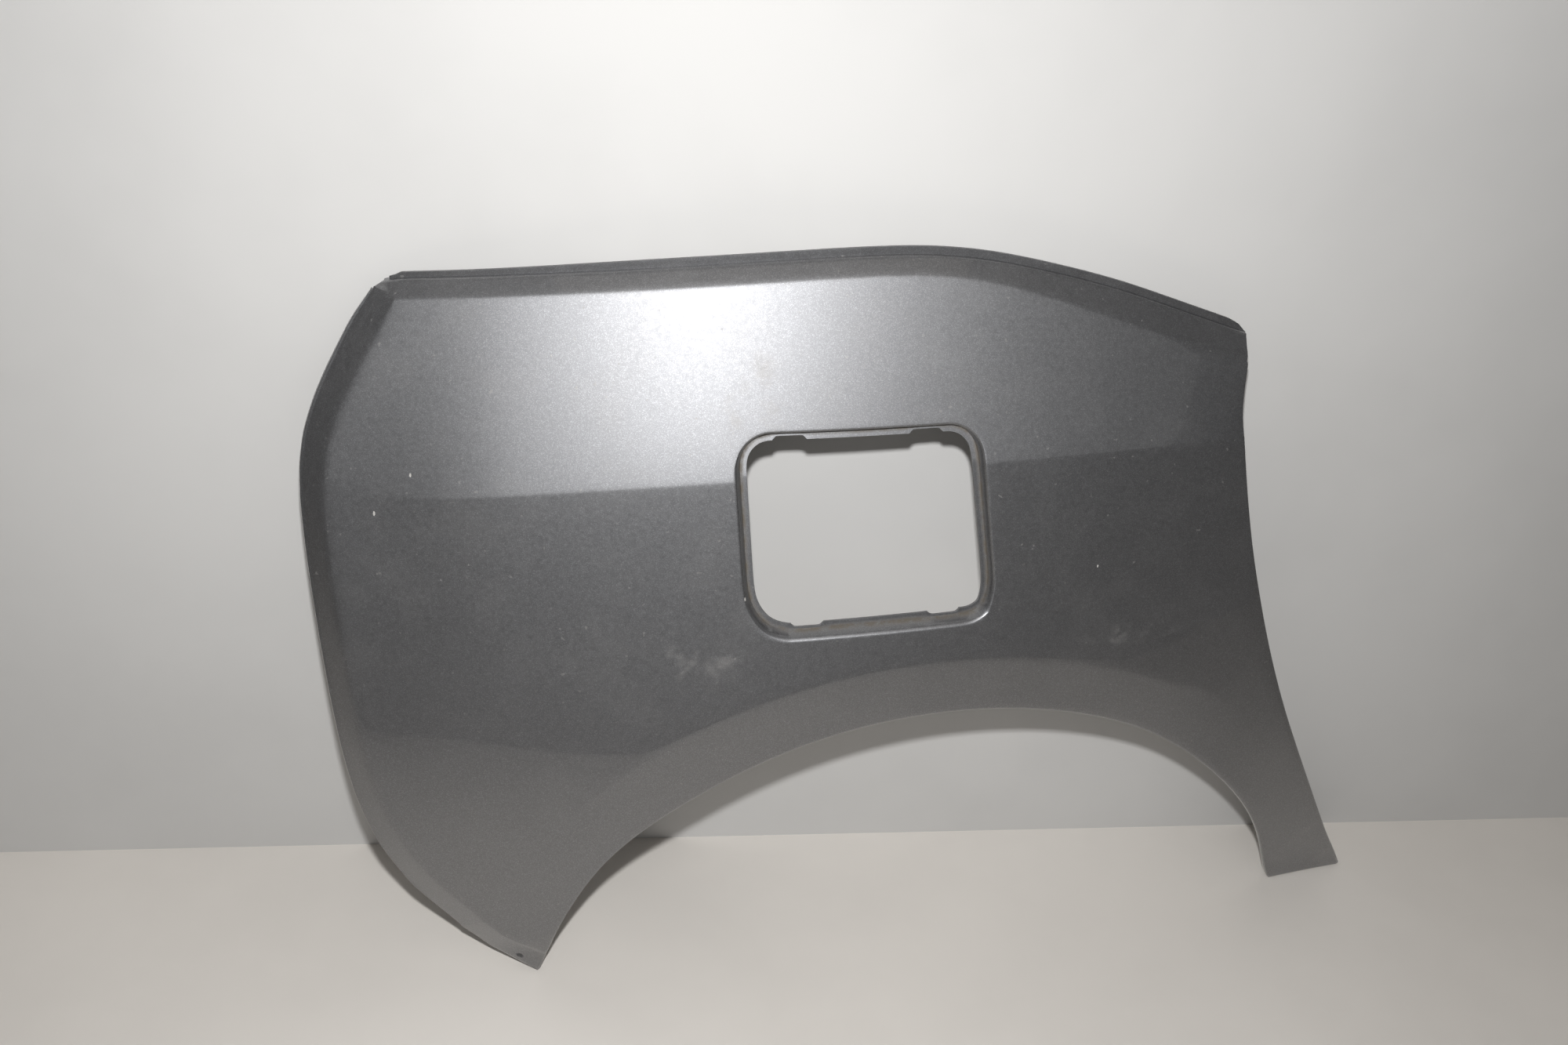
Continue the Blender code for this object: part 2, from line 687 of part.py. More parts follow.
def cut_opening(mesh, grid, marks):
    """Open the block, and run the skin on to the outline, down the recess wall and along the ledge."""
    low, high = marks["low"], marks["high"]
    block = {
        vertex
        for (column, row), vertex in grid.items()
        if OPENING_LEFT <= column <= OPENING_RIGHT and low <= row <= high
    }
    chain = [grid[column, low] for column in range(OPENING_LEFT, OPENING_RIGHT)]
    chain += [grid[OPENING_RIGHT, row] for row in range(low, high)]
    chain += [grid[column, high] for column in range(OPENING_RIGHT, OPENING_LEFT, -1)]
    chain += [grid[OPENING_LEFT, row] for row in range(high, low, -1)]
    inside = [face for face in mesh.faces if all(vertex in block for vertex in face.verts)]
    bmesh.ops.delete(mesh, geom=inside, context="FACES")

    stations = opening_stations()

    def ring(reach, drop):
        """Places on the opening's stations, this far into the opening and this far below the skin."""
        places = []
        for point, way_in, notched in stations:
            cut_back = notched and drop == RECESS_DEPTH and reach > RECESS_DRAFT
            depth = reach - (NOTCH_DEPTH if cut_back else 0.0)
            place = point + way_in * depth
            places.append(Vector((place.x, skin_depth(place.x, place.y) + drop, place.y)))
        return places

    rim = ring(-RECESS_EDGE, 0.0)
    halfway = []
    for vertex, place in zip(chain, rim):
        x, z = 0.5 * (vertex.co.x + place.x), 0.5 * (vertex.co.z + place.z)
        halfway.append(Vector((x, skin_depth(x, z), z)))
    chain = drawn_on(mesh, chain, halfway, True)
    chain = drawn_on(mesh, chain, rim, True)
    chain = drawn_on(mesh, chain, ring(0.0, RECESS_EDGE), True)
    chain = drawn_on(mesh, chain, ring(RECESS_DRAFT, RECESS_DEPTH), True)
    drawn_on(mesh, chain, ring(RECESS_DRAFT + LEDGE_WIDTH, RECESS_DEPTH), True)


def fold_edges(mesh, grid, marks):
    """Turn the tail, arch, foot and door edges inward: a round fold, then a straight return."""
    top = marks["shoulder"]
    chain = [grid[0, row] for row in range(top, 0, -1)]
    depths = [SIDE_RETURN] * len(chain)
    chain += [grid[column, 0] for column in range(FOOT_COLUMN)]
    depths += [ARCH_RETURN] * FOOT_COLUMN
    low = marks["low"]
    chain += [grid[FOOT_COLUMN, row] for row in range(low)]
    depths += [FOOT_RETURN] * low
    chain += [grid[column, low] for column in range(FOOT_COLUMN, DOOR_COLUMN, -1)]
    chain += [grid[DOOR_COLUMN, row] for row in range(low, top + 1)]
    depths += [SIDE_RETURN] * (len(chain) - len(depths))
    for join in (top, top + FOOT_COLUMN, top + FOOT_COLUMN + low):
        depths[join] = 0.5 * (depths[join - 1] + depths[join + 1])

    places = [flat(vertex.co.x, vertex.co.z) for vertex in chain]
    steps = [(b - a).normalized() for a, b in zip(places, places[1:])]
    sides = [flat(step.y, -step.x) for step in steps]
    sides = [sides[0]] + sides + [sides[-1]]
    outward, corner = [], []
    for before, after in zip(sides, sides[1:]):
        outward.append((before + after).normalized())
        corner.append((before + after) / (1.0 + before.dot(after)))

    def fading(k):
        """The returns run out over the last few stations below the shoulder."""
        return 0.35 + 0.65 * ease(0.0, 4.0, min(k, len(chain) - 1 - k))

    start = []
    for k, vertex in enumerate(chain):
        inset = corner[k] * (-FOLD_RADIUS * fading(k))
        start.append(vertex.co + Vector((inset.x, 0.0, inset.y)))
    for vertex, place in zip(chain, start):
        vertex.co = place

    def ring(out, down):
        made = []
        for k, place in enumerate(start):
            reach = outward[k] * (FOLD_RADIUS * out * fading(k))
            made.append(place + Vector((reach.x, down(k) * fading(k), reach.y)))
        return made

    chain = drawn_on(mesh, chain, ring(0.7, lambda k: 0.3 * FOLD_RADIUS))
    chain = drawn_on(mesh, chain, ring(1.0, lambda k: FOLD_RADIUS))
    drawn_on(mesh, chain, ring(1.0, lambda k: depths[k]))


def paint():
    material = bpy.data.materials.new("panel_paint")
    material.use_nodes = True
    shader = material.node_tree.nodes["Principled BSDF"]
    shader.inputs["Base Color"].default_value = PAINT_COLOUR
    shader.inputs["Metallic"].default_value = 0.6
    shader.inputs["Roughness"].default_value = 0.35
    return material


def main():
    for thing in list(bpy.data.objects):
        bpy.data.objects.remove(thing)

    points, marks, pad = sheet_points()
    mesh = bmesh.new()
    grid = make_grid(mesh, points)
    origin = sum((points[row][pad + k] for row in (-1, -2) for k in (0, 1)), Vector()) / 4.0
    origin.y += WALL
    cut_opening(mesh, grid, marks)
    fold_edges(mesh, grid, marks)
    bmesh.ops.translate(mesh, vec=-origin, verts=mesh.verts)
    mesh.normal_update()

    data = bpy.data.meshes.new("rear_side_panel")
    mesh.to_mesh(data)
    mesh.free()
    panel = bpy.data.objects.new("rear_side_panel", data)
    bpy.context.scene.collection.objects.link(panel)
    data.materials.append(paint())
    wall = panel.modifiers.new("Wall", "SOLIDIFY")
    wall.thickness = WALL
    wall.offset = -1.0
    wall.use_even_offset = True
    wall.use_quality_normals = True


main()
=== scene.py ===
"""Rear side panel of a small car: paint, wear, backdrop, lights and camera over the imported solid."""
import math

import bmesh
import bpy
from bpy.props import FloatProperty, FloatVectorProperty, IntProperty, PointerProperty
from mathutils import Matrix, Vector


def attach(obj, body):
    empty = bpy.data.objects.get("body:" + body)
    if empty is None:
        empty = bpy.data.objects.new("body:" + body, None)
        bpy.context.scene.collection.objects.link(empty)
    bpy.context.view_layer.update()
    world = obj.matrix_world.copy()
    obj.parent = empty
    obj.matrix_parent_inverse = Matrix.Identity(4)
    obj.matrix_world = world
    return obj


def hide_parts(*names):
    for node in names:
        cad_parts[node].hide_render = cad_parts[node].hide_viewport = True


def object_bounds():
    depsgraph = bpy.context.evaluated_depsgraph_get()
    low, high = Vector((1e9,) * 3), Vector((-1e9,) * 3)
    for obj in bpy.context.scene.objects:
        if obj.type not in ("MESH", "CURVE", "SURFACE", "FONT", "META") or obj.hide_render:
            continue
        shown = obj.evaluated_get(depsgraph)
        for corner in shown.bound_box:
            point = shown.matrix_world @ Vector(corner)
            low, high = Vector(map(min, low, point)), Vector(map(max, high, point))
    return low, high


bl_info = {
    "name": "Rear side panel",
    "version": (1, 0, 0),
    "blender": (4, 5, 0),
    "location": "View3D > Sidebar > Side panel",
    "description": "Dresses a car's rear side panel with metallic paint, wear, a backdrop, lights and a camera",
    "category": "Object",
}

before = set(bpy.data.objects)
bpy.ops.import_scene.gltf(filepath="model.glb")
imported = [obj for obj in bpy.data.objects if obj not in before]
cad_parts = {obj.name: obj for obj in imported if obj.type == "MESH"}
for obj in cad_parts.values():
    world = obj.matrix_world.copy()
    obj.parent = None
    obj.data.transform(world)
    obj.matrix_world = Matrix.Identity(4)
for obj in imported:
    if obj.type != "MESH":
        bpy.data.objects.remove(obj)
CAD_BOX = [list(corner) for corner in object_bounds()]
STANDING_LINE = CAD_BOX[0][2]
BACK = CAD_BOX[1][1]
OPENING_MIDDLE = Vector((-0.100, -0.078, -0.200))

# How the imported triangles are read: a distance in metres, bends in degrees, and cosines
MERGE_DISTANCE = 0.00002
PAIR_BEND, PAIR_SKEW = 25.0, 60.0  # two triangles flatter and squarer than this become one face
RIM_BEND = 45.0  # the skin bends out by more than this at the recess rim
GROOVE_BEND = -45.0  # and in by more than this where the recess wall meets the ledge
CARRIED_BEND = 12.0  # an edge that goes on from another one bends by more than this
STRAIGHT_ON = 0.8  # and keeps its direction at least so far
FIRST_BEND, FULL_BEND = 4.0, 30.0  # creases start at the first and are full at the second
WALL_BEND, RING_BEND = 60.0, 18.0  # bends that are creased round the opening
HARD_BEND = 55.0  # sharper edges are shaded hard
NOTCH_TURN = -0.9  # a cut edge that turns more than this has a notch corner

# Where the camera of the photo looks, and what stands round it
VIEW_FORWARD, VIEW_UP = Vector((0.138, 0.8474, -0.5126)), Vector((-0.0107, 0.519, 0.8544))
FLASH_RISE = 0.13
SENSOR_WIDTH = 36.0
FRONT_PLACE, FRONT_AIM, FRONT_SIZE = Vector((0.1, -3.0, 1.2)), (0.0, 3.0, -1.4), (6.0, 2.0)
FILL_PLACE, FILL_AIM, FILL_SIZE = Vector((-0.1, -0.9, 1.5)), (0.0, 0.3, -1.0), (1.5, 1.5)
SKY_TINT = (1.0, 0.98, 0.96, 1.0)


class PanelShape(bpy.types.PropertyGroup):
    smooth_levels: IntProperty(
        name="Smoothing", description="Subdivision levels of the skin", default=2, min=0, max=3
    )
    line_tightness: FloatProperty(
        name="Line tightness", description="How sharp the lines and folds stay", default=0.80, min=0.0, max=1.0
    )
    opening_reach: FloatProperty(
        name="Opening reach",
        description="Distance round the opening's middle inside which the close rings alone keep the edges sharp",
        default=0.150,
        subtype="DISTANCE",
    )
    rim_round: FloatProperty(
        name="Rim round", description="Rounding of the flap recess's rim", default=0.0006, subtype="DISTANCE"
    )
    sheet_corner: FloatProperty(
        name="Sheet corner",
        description="Faces that meet more sharply than this are a cut edge of the sheet",
        default=math.radians(76.0),
        subtype="ANGLE",
    )


class PaintLook(bpy.types.PropertyGroup):
    base: FloatVectorProperty(
        name="Paint", description="Colour of the metallic base coat", subtype="COLOR", default=(0.165, 0.166, 0.172)
    )
    flake: FloatVectorProperty(
        name="Flake", description="Colour of the bright flakes", subtype="COLOR", default=(0.60, 0.61, 0.63)
    )
    flake_size: FloatProperty(
        name="Flake size", description="Distance between flakes", default=0.00042, subtype="DISTANCE"
    )
    flake_share: FloatProperty(name="Flake share", description="How far the flakes lift the colour", default=0.26)
    metal: FloatProperty(name="Metal", description="How metallic the base coat is", default=0.97)
    roughness: FloatProperty(name="Base roughness", description="Spread of the flakes' shine", default=0.50)
    coat_roughness: FloatProperty(
        name="Coat roughness", description="Spread of the clear coat's shine", default=0.045
    )
    chip: FloatVectorProperty(
        name="Chip", description="Colour of bare spots and specks", subtype="COLOR", default=(0.42, 0.41, 0.39)
    )
    dust: FloatVectorProperty(
        name="Dust", description="Colour of dust and rub marks", subtype="COLOR", default=(0.40, 0.38, 0.35)
    )
    # Dark brown laid in the recess corner: partly dirt, partly painted shade
    dirt_and_shade: FloatVectorProperty(
        name="Dirt", description="Colour of the dirt in the recess", subtype="COLOR", default=(0.085, 0.068, 0.045)
    )
    inside: FloatVectorProperty(
        name="Inside", description="Colour of the bare inner side", subtype="COLOR", default=(0.150, 0.150, 0.152)
    )


class StageLook(bpy.types.PropertyGroup):
    wall: FloatVectorProperty(
        name="Wall", description="Colour of the backdrop", subtype="COLOR", default=(0.60, 0.595, 0.585)
    )
    floor: FloatVectorProperty(
        name="Floor", description="Colour of the floor", subtype="COLOR", default=(0.77, 0.735, 0.69)
    )
    width: FloatProperty(name="Width", description="Width of both sheets", default=6.0, subtype="DISTANCE")
    height: FloatProperty(name="Height", description="Height of the backdrop", default=3.0, subtype="DISTANCE")
    depth: FloatProperty(name="Depth", description="Depth of the floor", default=0.95, subtype="DISTANCE")
    wall_gap: FloatProperty(
        name="Wall gap", description="Space between the panel and the backdrop", default=0.006, subtype="DISTANCE"
    )


class LightLook(bpy.types.PropertyGroup):
    camera_place: FloatVectorProperty(
        name="Camera",
        description="Where the camera stands",
        subtype="TRANSLATION",
        default=(-0.3112, -0.9489, 0.3318),
    )
    camera_lens: FloatProperty(name="Lens", description="Focal length in millimetres", default=30.15)
    key_power: FloatProperty(name="Key", description="Power of the lamp over the camera, in watts", default=10.3)
    key_size: FloatProperty(name="Key size", description="Width of that lamp", default=0.035, subtype="DISTANCE")
    key_spread: FloatProperty(
        name="Key spread", description="How wide the lamp's beam is", default=math.radians(158.0), subtype="ANGLE"
    )
    key_tint: FloatVectorProperty(
        name="Key tint", description="Colour of that lamp", subtype="COLOR", default=(1.0, 1.0, 1.0)
    )
    fill_tint: FloatVectorProperty(
        name="Fill tint", description="Colour of the lamp overhead", subtype="COLOR", default=(1.0, 0.88, 0.74)
    )
    fill_power: FloatProperty(name="Fill", description="Power of the soft lamp overhead, in watts", default=1.5)
    front_power: FloatProperty(
        name="Front", description="Power of the wide soft lamp behind the camera, in watts", default=7.5
    )
    world: FloatProperty(name="World", description="Strength of the even light all round", default=0.10)


class Value:
    """A shader socket that can be used in sums."""

    def __init__(self, tree, socket):
        self.tree = tree
        self.socket = socket

    def maths(self, operation, *others):
        return self.tree.node("ShaderNodeMath", {"operation": operation}, (self,) + others)

    def __add__(self, other):
        return self.maths("ADD", other)

    __radd__ = __add__

    def __mul__(self, other):
        return self.maths("MULTIPLY", other)

    __rmul__ = __mul__

    def __sub__(self, other):
        return self.maths("SUBTRACT", other)

    def __rsub__(self, other):
        return self.tree.node("ShaderNodeMath", {"operation": "SUBTRACT"}, (other, self))

    def greatest(self, other):
        return self.maths("MAXIMUM", other)

    def between(self, low, high):
        """0 at low and 1 at high, eased at both ends."""
        settings = {"interpolation_type": "SMOOTHSTEP", "clamp": True}
        return self.tree.node("ShaderNodeMapRange", settings, (self, low, high, 0.0, 1.0))


class Tree:
    """A material's nodes, built by expressions."""

    def __init__(self, name):
        self.material = bpy.data.materials.new(name)
        self.material.use_nodes = True
        self.nodes = self.material.node_tree.nodes
        self.links = self.material.node_tree.links
        self.shader = self.nodes["Principled BSDF"]

    def node(self, kind, settings, inputs=(), output=0):
        """Add a node, set it up, and feed its sockets by place or by name."""
        made = self.nodes.new(kind)
        for key, setting in settings.items():
            setattr(made, key, setting)
        pairs = inputs.items() if isinstance(inputs, dict) else enumerate(inputs)
        for key, value in pairs:
            self.feed(made.inputs[key], value)
        return Value(self, made.outputs[output])

    def feed(self, socket, value):
        if isinstance(value, Value):
            self.links.new(value.socket, socket)
        else:
            socket.default_value = value

    def place(self):
        return self.node("ShaderNodeTexCoord", {}, output="Object")

    def noise(self, place, size, detail=3.0, roughness=0.5):
        """Fractal noise whose lumps are about this many metres across."""
        values = {"Vector": place, "Scale": 1.0 / size, "Detail": detail, "Roughness": roughness}
        return self.node("ShaderNodeTexNoise", {}, values)

    def blend(self, share, first, second):
        """A colour between two colours."""
        settings = {"data_type": "RGBA", "blend_type": "MIX"}
        return self.node("ShaderNodeMix", settings, {0: share, 6: first, 7: second}, 2)

    def distance(self, place, centre, stretch=(1.0, 1.0, 1.0)):
        """Distance from a point, counted with its own scale along each axis."""
        moved = self.node("ShaderNodeVectorMath", {"operation": "SUBTRACT"}, (place, centre))
        scaled = self.node("ShaderNodeVectorMath", {"operation": "MULTIPLY"}, (moved, stretch))
        return self.node("ShaderNodeVectorMath", {"operation": "LENGTH"}, (scaled,), "Value")


def colour(values):
    return (values[0], values[1], values[2], 1.0)


# Marks on the skin, each with its place, radius and stretch: chips and rubs are wear, and the tip mark is a
# near-black spot on the tail's lowest tip, close to the floor
CHIPS = (
    ((-0.4554, -0.0516, -0.1726), 0.0015, (1.5, 1.0, 0.8)),
    ((-0.4838, -0.0556, -0.2047), 0.0016, (1.7, 1.0, 0.7)),
    ((0.0941, -0.0805, -0.2322), 0.0012, (1.3, 1.0, 0.8)),
    ((-0.2035, -0.0950, -0.2300), 0.0009, (1.0, 0.6, 0.5)),
    ((-0.1985, -0.1020, -0.2514), 0.0008, (1.0, 0.6, 0.5)),
    ((0.3500, -0.0560, -0.6100), 0.0052, (1.4, 0.5, 0.55)),
)
RUBS = (
    ((-0.1953, -0.0580, -0.1058), 0.030, (1.0, 0.6, 0.55)),
    ((-0.2462, -0.1131, -0.3010), 0.026, (1.6, 0.6, 0.7)),
    ((-0.2120, -0.1050, -0.3080), 0.022, (0.9, 0.6, 1.6)),
    ((0.1350, -0.0860, -0.2950), 0.030, (0.5, 0.6, 2.6)),
)
TIP_MARK = ((-0.3788, -0.1374, -0.6129), 0.0042, (1.0, 0.5, 1.0))
TIP_COLOUR = (0.02, 0.019, 0.018, 1.0)
MARK_CORE, MARK_RAG = 0.72, 0.9  # share of a mark's radius that is solid, and how ragged its border is

# How far across the lumps of each pattern are, in metres
CLOUD, PEEL = 0.0035, 0.0035
CHIP_GRAIN, SPECK, HAIR = 0.0022, 0.0045, 0.0011
# The third size here is for the lumps of the dirt and painted shade in the recess corner
RUB_PATCH, DUST_PATCH, DIRT_AND_SHADE_PATCH = 0.020, 0.055, 0.009
MOULD_GRAIN, MIST, INNER_SPECK = 0.0012, 0.045, 0.004
STAGE_PATCH = 0.35
HAIR_STRETCH = (1.0, 1.0, 0.14)
DUST_HEIGHT = 0.16  # dust settles thicker below this height over the floor

# Where each pattern starts to show and where it shows in full, as values from 0 to 1
FLAKE_SHOWS, RUB_SHOWS, HAIR_SHOWS, SPECK_SHOWS = (0.62, 0.98), (0.45, 0.75), (0.70, 0.80), (0.745, 0.775)
# The second and third pairs here set the dirt and painted shade in the recess corner
DUST_SHOWS, DIRT_AND_SHADE_SHOWS, GROOVE_SHOWS = (0.42, 0.80), (0.36, 0.62), (0.30, 0.95)
MIST_SHOWS, INNER_SPECK_SHOWS, STAGE_SHOWS = (0.40, 0.78), (0.68, 0.76), (0.35, 0.75)


def marks(tree, place, listed, ragged):
    """1 where any of the listed marks lies, with ragged borders, and 0 elsewhere."""
    mask = None
    for centre, radius, stretch in listed:
        reach = tree.distance(place, centre, stretch) + (ragged - 0.5) * (radius * MARK_RAG)
        spot = 1.0 - reach.between(radius * MARK_CORE, radius)
        mask = spot if mask is None else mask.greatest(spot)
    return mask


def metallic_paint(look):
    """Dark grey metallic base coat with fine flakes, under a clear coat that has dust, rubs and chips."""
    tree = Tree("metallic_paint")
    place = tree.place()
    scale = 1.0 / look.flake_size
    cells = tree.node("ShaderNodeTexVoronoi", {"feature": "F1"}, {"Vector": place, "Scale": scale}, "Color")
    parts = tree.node("ShaderNodeSeparateColor", {}, (cells,))
    bright = parts.between(*FLAKE_SHOWS)
    cloud = tree.noise(place, CLOUD, 2.0)
    flakes = bright * 0.75 + cloud * 0.4
    base = tree.blend(flakes * look.flake_share, colour(look.base), colour(look.flake))

    fine = tree.noise(place, CHIP_GRAIN, 3.0)
    chips = marks(tree, place, CHIPS, fine)
    patch = tree.noise(place, RUB_PATCH, 4.0, 0.65)
    rubs = marks(tree, place, RUBS, patch) * patch.between(*RUB_SHOWS)
    streaks = tree.node("ShaderNodeMapping", {"vector_type": "POINT"}, {"Vector": place, "Scale": HAIR_STRETCH})
    hairs = tree.noise(streaks, HAIR, 1.0).between(*HAIR_SHOWS)
    specks = tree.noise(place, SPECK, 1.0).between(*SPECK_SHOWS)
    low = tree.node("ShaderNodeSeparateXYZ", {}, (place,), "Z")
    settled = 1.0 - low.between(STANDING_LINE, STANDING_LINE + DUST_HEIGHT)
    dust = tree.noise(place, DUST_PATCH, 5.0, 0.6).between(*DUST_SHOWS)
    film = dust * (settled * 0.16 + 0.05) + rubs * hairs * 0.34 + rubs * 0.20 + specks * 0.20
    # A near-black matt spot on the tail's lowest tip, close to the floor
    tip = marks(tree, place, (TIP_MARK,), fine)
    # Dark brown along the groove where the recess wall meets the ledge: partly dirt, partly painted shade in that
    # recess corner
    groove = tree.node("ShaderNodeAttribute", {"attribute_name": "groove"}, (), "Fac")
    lumps = tree.noise(place, DIRT_AND_SHADE_PATCH, 4.0, 0.65).between(*DIRT_AND_SHADE_SHOWS)
    dirt_and_shade = groove.between(*GROOVE_SHOWS) * (lumps * 0.50 + 0.32)

    dusty = tree.blend(film, base, colour(look.dust))
    with_dirt_and_shade = tree.blend(dirt_and_shade, dusty, colour(look.dirt_and_shade))
    chipped = tree.blend(chips, with_dirt_and_shade, colour(look.chip))
    marked = tree.blend(tip * 0.75, chipped, TIP_COLOUR)
    tree.feed(tree.shader.inputs["Base Color"], marked)
    # Chips, the tip spot, and the recess corner's dirt and painted shade carry no metal and no clear coat, and are
    # rougher
    chips_tip_and_groove = chips.greatest(tip).greatest(dirt_and_shade)
    tree.feed(tree.shader.inputs["Metallic"], (1.0 - chips_tip_and_groove) * (1.0 - film) * look.metal)
    tree.feed(tree.shader.inputs["Roughness"], (cloud - 0.5) * 0.10 + film * 0.25 + chips_tip_and_groove * 0.25 + look.roughness)
    tree.feed(tree.shader.inputs["Coat Weight"], (1.0 - chips_tip_and_groove) * (1.0 - film * 0.8))
    tree.shader.inputs["Coat Roughness"].default_value = look.coat_roughness
    tree.shader.inputs["Coat IOR"].default_value = 1.6
    peel = tree.noise(place, PEEL, 1.0)
    height = peel * 0.5 + bright * 0.10 - chips * 1.2
    bump = {"Strength": 0.10, "Distance": 0.0004, "Height": height}
    tree.feed(tree.shader.inputs["Normal"], tree.node("ShaderNodeBump", {}, bump))
    return tree.material


def bare_inside(look):
    """The inner side: matt grey moulding with uneven overspray and some dust."""
    tree = Tree("bare_inside")
    place = tree.place()
    grain = tree.noise(place, MOULD_GRAIN, 2.0)
    mist = tree.noise(place, MIST, 5.0, 0.62).between(*MIST_SHOWS)
    base = tree.blend(mist * 0.30, colour(look.inside), colour([1.9 * part for part in look.inside]))
    specks = tree.noise(place, INNER_SPECK, 2.0).between(*INNER_SPECK_SHOWS)
    tree.feed(tree.shader.inputs["Base Color"], tree.blend(specks * 0.25, base, colour(look.dust)))
    tree.feed(tree.shader.inputs["Roughness"], grain * 0.16 + mist * 0.10 + 0.52)
    bump = {"Strength": 0.25, "Distance": 0.0003, "Height": grain + mist * 0.6}
    tree.feed(tree.shader.inputs["Normal"], tree.node("ShaderNodeBump", {}, bump))
    return tree.material


def plain_surface(name, shade):
    """A pale matt surface with very slight patches, seen from its front only."""
    tree = Tree(name)
    patch = tree.noise(tree.place(), STAGE_PATCH, 4.0, 0.6)
    darker = colour([part * 0.93 for part in shade])
    tree.feed(tree.shader.inputs["Base Color"], tree.blend(patch.between(*STAGE_SHOWS), colour(shade), darker))
    tree.shader.inputs["Roughness"].default_value = 0.75
    tree.shader.inputs["Specular IOR Level"].default_value = 0.25
    behind = tree.node("ShaderNodeNewGeometry", {}, (), "Backfacing")
    clear = tree.node("ShaderNodeBsdfTransparent", {})
    surface = Value(tree, tree.shader.outputs[0])
    shown = tree.node("ShaderNodeMixShader", {}, (behind, surface, clear))
    tree.links.new(shown.socket, tree.nodes["Material Output"].inputs["Surface"])
    return tree.material


def outer_faces(mesh, corner):
    """The painted side: all faces reached from the front of the skin without crossing a cut edge of the sheet."""
    start = min(mesh.faces, key=lambda face: face.normal.y)
    found, waiting = {start}, [start]
    while waiting:
        face = waiting.pop()
        for edge in face.edges:
            if edge.is_manifold and edge.calc_face_angle() < corner:
                for other in edge.link_faces:
                    if other not in found:
                        found.add(other)
                        waiting.append(other)
    return found


def goes_on(edge, corner):
    """Whether some other edge at this end carries the edge's direction on and bends too."""
    ahead = (corner.co - edge.other_vert(corner).co).normalized()
    for other in corner.link_edges:
        if other is not edge and other.is_manifold and other.calc_face_angle() > math.radians(CARRIED_BEND):
            if ahead.dot((other.other_vert(corner).co - corner.co).normalized()) > STRAIGHT_ON:
                return True
    return False


def round_rim(mesh, shape):
    """Give the rim where the skin drops into the flap recess a small round edge."""
    rim = []
    for edge in mesh.edges:
        middle = (edge.verts[0].co + edge.verts[1].co) / 2.0
        near = (middle - OPENING_MIDDLE).length < shape.opening_reach
        painted = all(face.material_index == 0 for face in edge.link_faces)
        sharp = math.radians(RIM_BEND) < edge.calc_face_angle_signed(0.0) < shape.sheet_corner
        if near and painted and sharp and all(goes_on(edge, corner) for corner in edge.verts):
            rim.append(edge)
    bmesh.ops.bevel(
        mesh,
        geom=rim,
        offset=shape.rim_round,
        offset_type="OFFSET",
        segments=2,
        profile=0.5,
        affect="EDGES",
        material=-1,
        clamp_overlap=True,
    )
    for face in mesh.faces:
        face.smooth = True


def tighten(mesh, shape):
    """Creases that keep lines, folds, cut edges and notches crisp when the skin is smoothed."""
    creases = mesh.edges.layers.float.new("crease_edge")
    points = mesh.verts.layers.float.new("crease_vert")
    for edge in mesh.edges:
        bend = math.degrees(edge.calc_face_angle(0.0))
        middle = (edge.verts[0].co + edge.verts[1].co) / 2.0
        if (middle - OPENING_MIDDLE).length > shape.opening_reach:
            share = (bend - FIRST_BEND) / (FULL_BEND - FIRST_BEND)
            edge[creases] = shape.line_tightness * min(max(share, 0.0), 1.0) ** 0.5
        elif bend > WALL_BEND or (bend > RING_BEND and all(goes_on(edge, corner) for corner in edge.verts)):
            edge[creases] = shape.line_tightness
        edge.smooth = bend < HARD_BEND
    for corner in mesh.verts:
        cuts = [edge for edge in corner.link_edges if edge.calc_face_angle(0.0) > shape.sheet_corner]
        if len(cuts) == 2:
            ways = [(edge.other_vert(corner).co - corner.co).normalized() for edge in cuts]
            if ways[0].dot(ways[1]) > NOTCH_TURN:
                corner[points] = 1.0


def mark_groove(mesh, shape):
    """Note where the recess wall meets the ledge, so that dirt and painted shade can lie there."""
    groove = mesh.verts.layers.float.new("groove")
    for edge in mesh.edges:
        middle = (edge.verts[0].co + edge.verts[1].co) / 2.0
        painted = all(face.material_index == 0 for face in edge.link_faces)
        if painted and (middle - OPENING_MIDDLE).length < shape.opening_reach:
            if edge.calc_face_angle_signed(0.0) < math.radians(GROOVE_BEND):
                for corner in edge.verts:
                    corner[groove] = 1.0


class PANEL_OT_skin(bpy.types.Operator):
    """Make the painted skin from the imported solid: merged, smoothed, and painted on its outer side"""

    bl_idname = "side_panel.skin"
    bl_label = "Painted skin"

    def execute(self, context):
        shape, look = context.scene.panel_shape, context.scene.panel_paint
        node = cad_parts["rear_side_panel"]
        mesh = bmesh.new()
        mesh.from_mesh(node.data)
        bmesh.ops.remove_doubles(mesh, verts=mesh.verts, dist=MERGE_DISTANCE)
        bmesh.ops.join_triangles(
            mesh,
            faces=mesh.faces,
            cmp_seam=False,
            cmp_sharp=False,
            cmp_uvs=False,
            cmp_vcols=False,
            cmp_materials=False,
            angle_face_threshold=math.radians(PAIR_BEND),
            angle_shape_threshold=math.radians(PAIR_SKEW),
        )
        mesh.normal_update()
        painted = outer_faces(mesh, shape.sheet_corner)
        for face in mesh.faces:
            face.smooth = True
            face.material_index = 0 if face in painted else 1
        round_rim(mesh, shape)
        tighten(mesh, shape)
        mark_groove(mesh, shape)
        data = bpy.data.meshes.new("painted_skin")
        mesh.to_mesh(data)
        mesh.free()
        skin = bpy.data.objects.new("painted_skin", data)
        context.scene.collection.objects.link(skin)
        data.materials.append(metallic_paint(look))
        data.materials.append(bare_inside(look))
        smooth = skin.modifiers.new("Smooth", "SUBSURF")
        smooth.levels = smooth.render_levels = shape.smooth_levels
        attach(skin, "root")
        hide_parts("rear_side_panel")
        return {"FINISHED"}


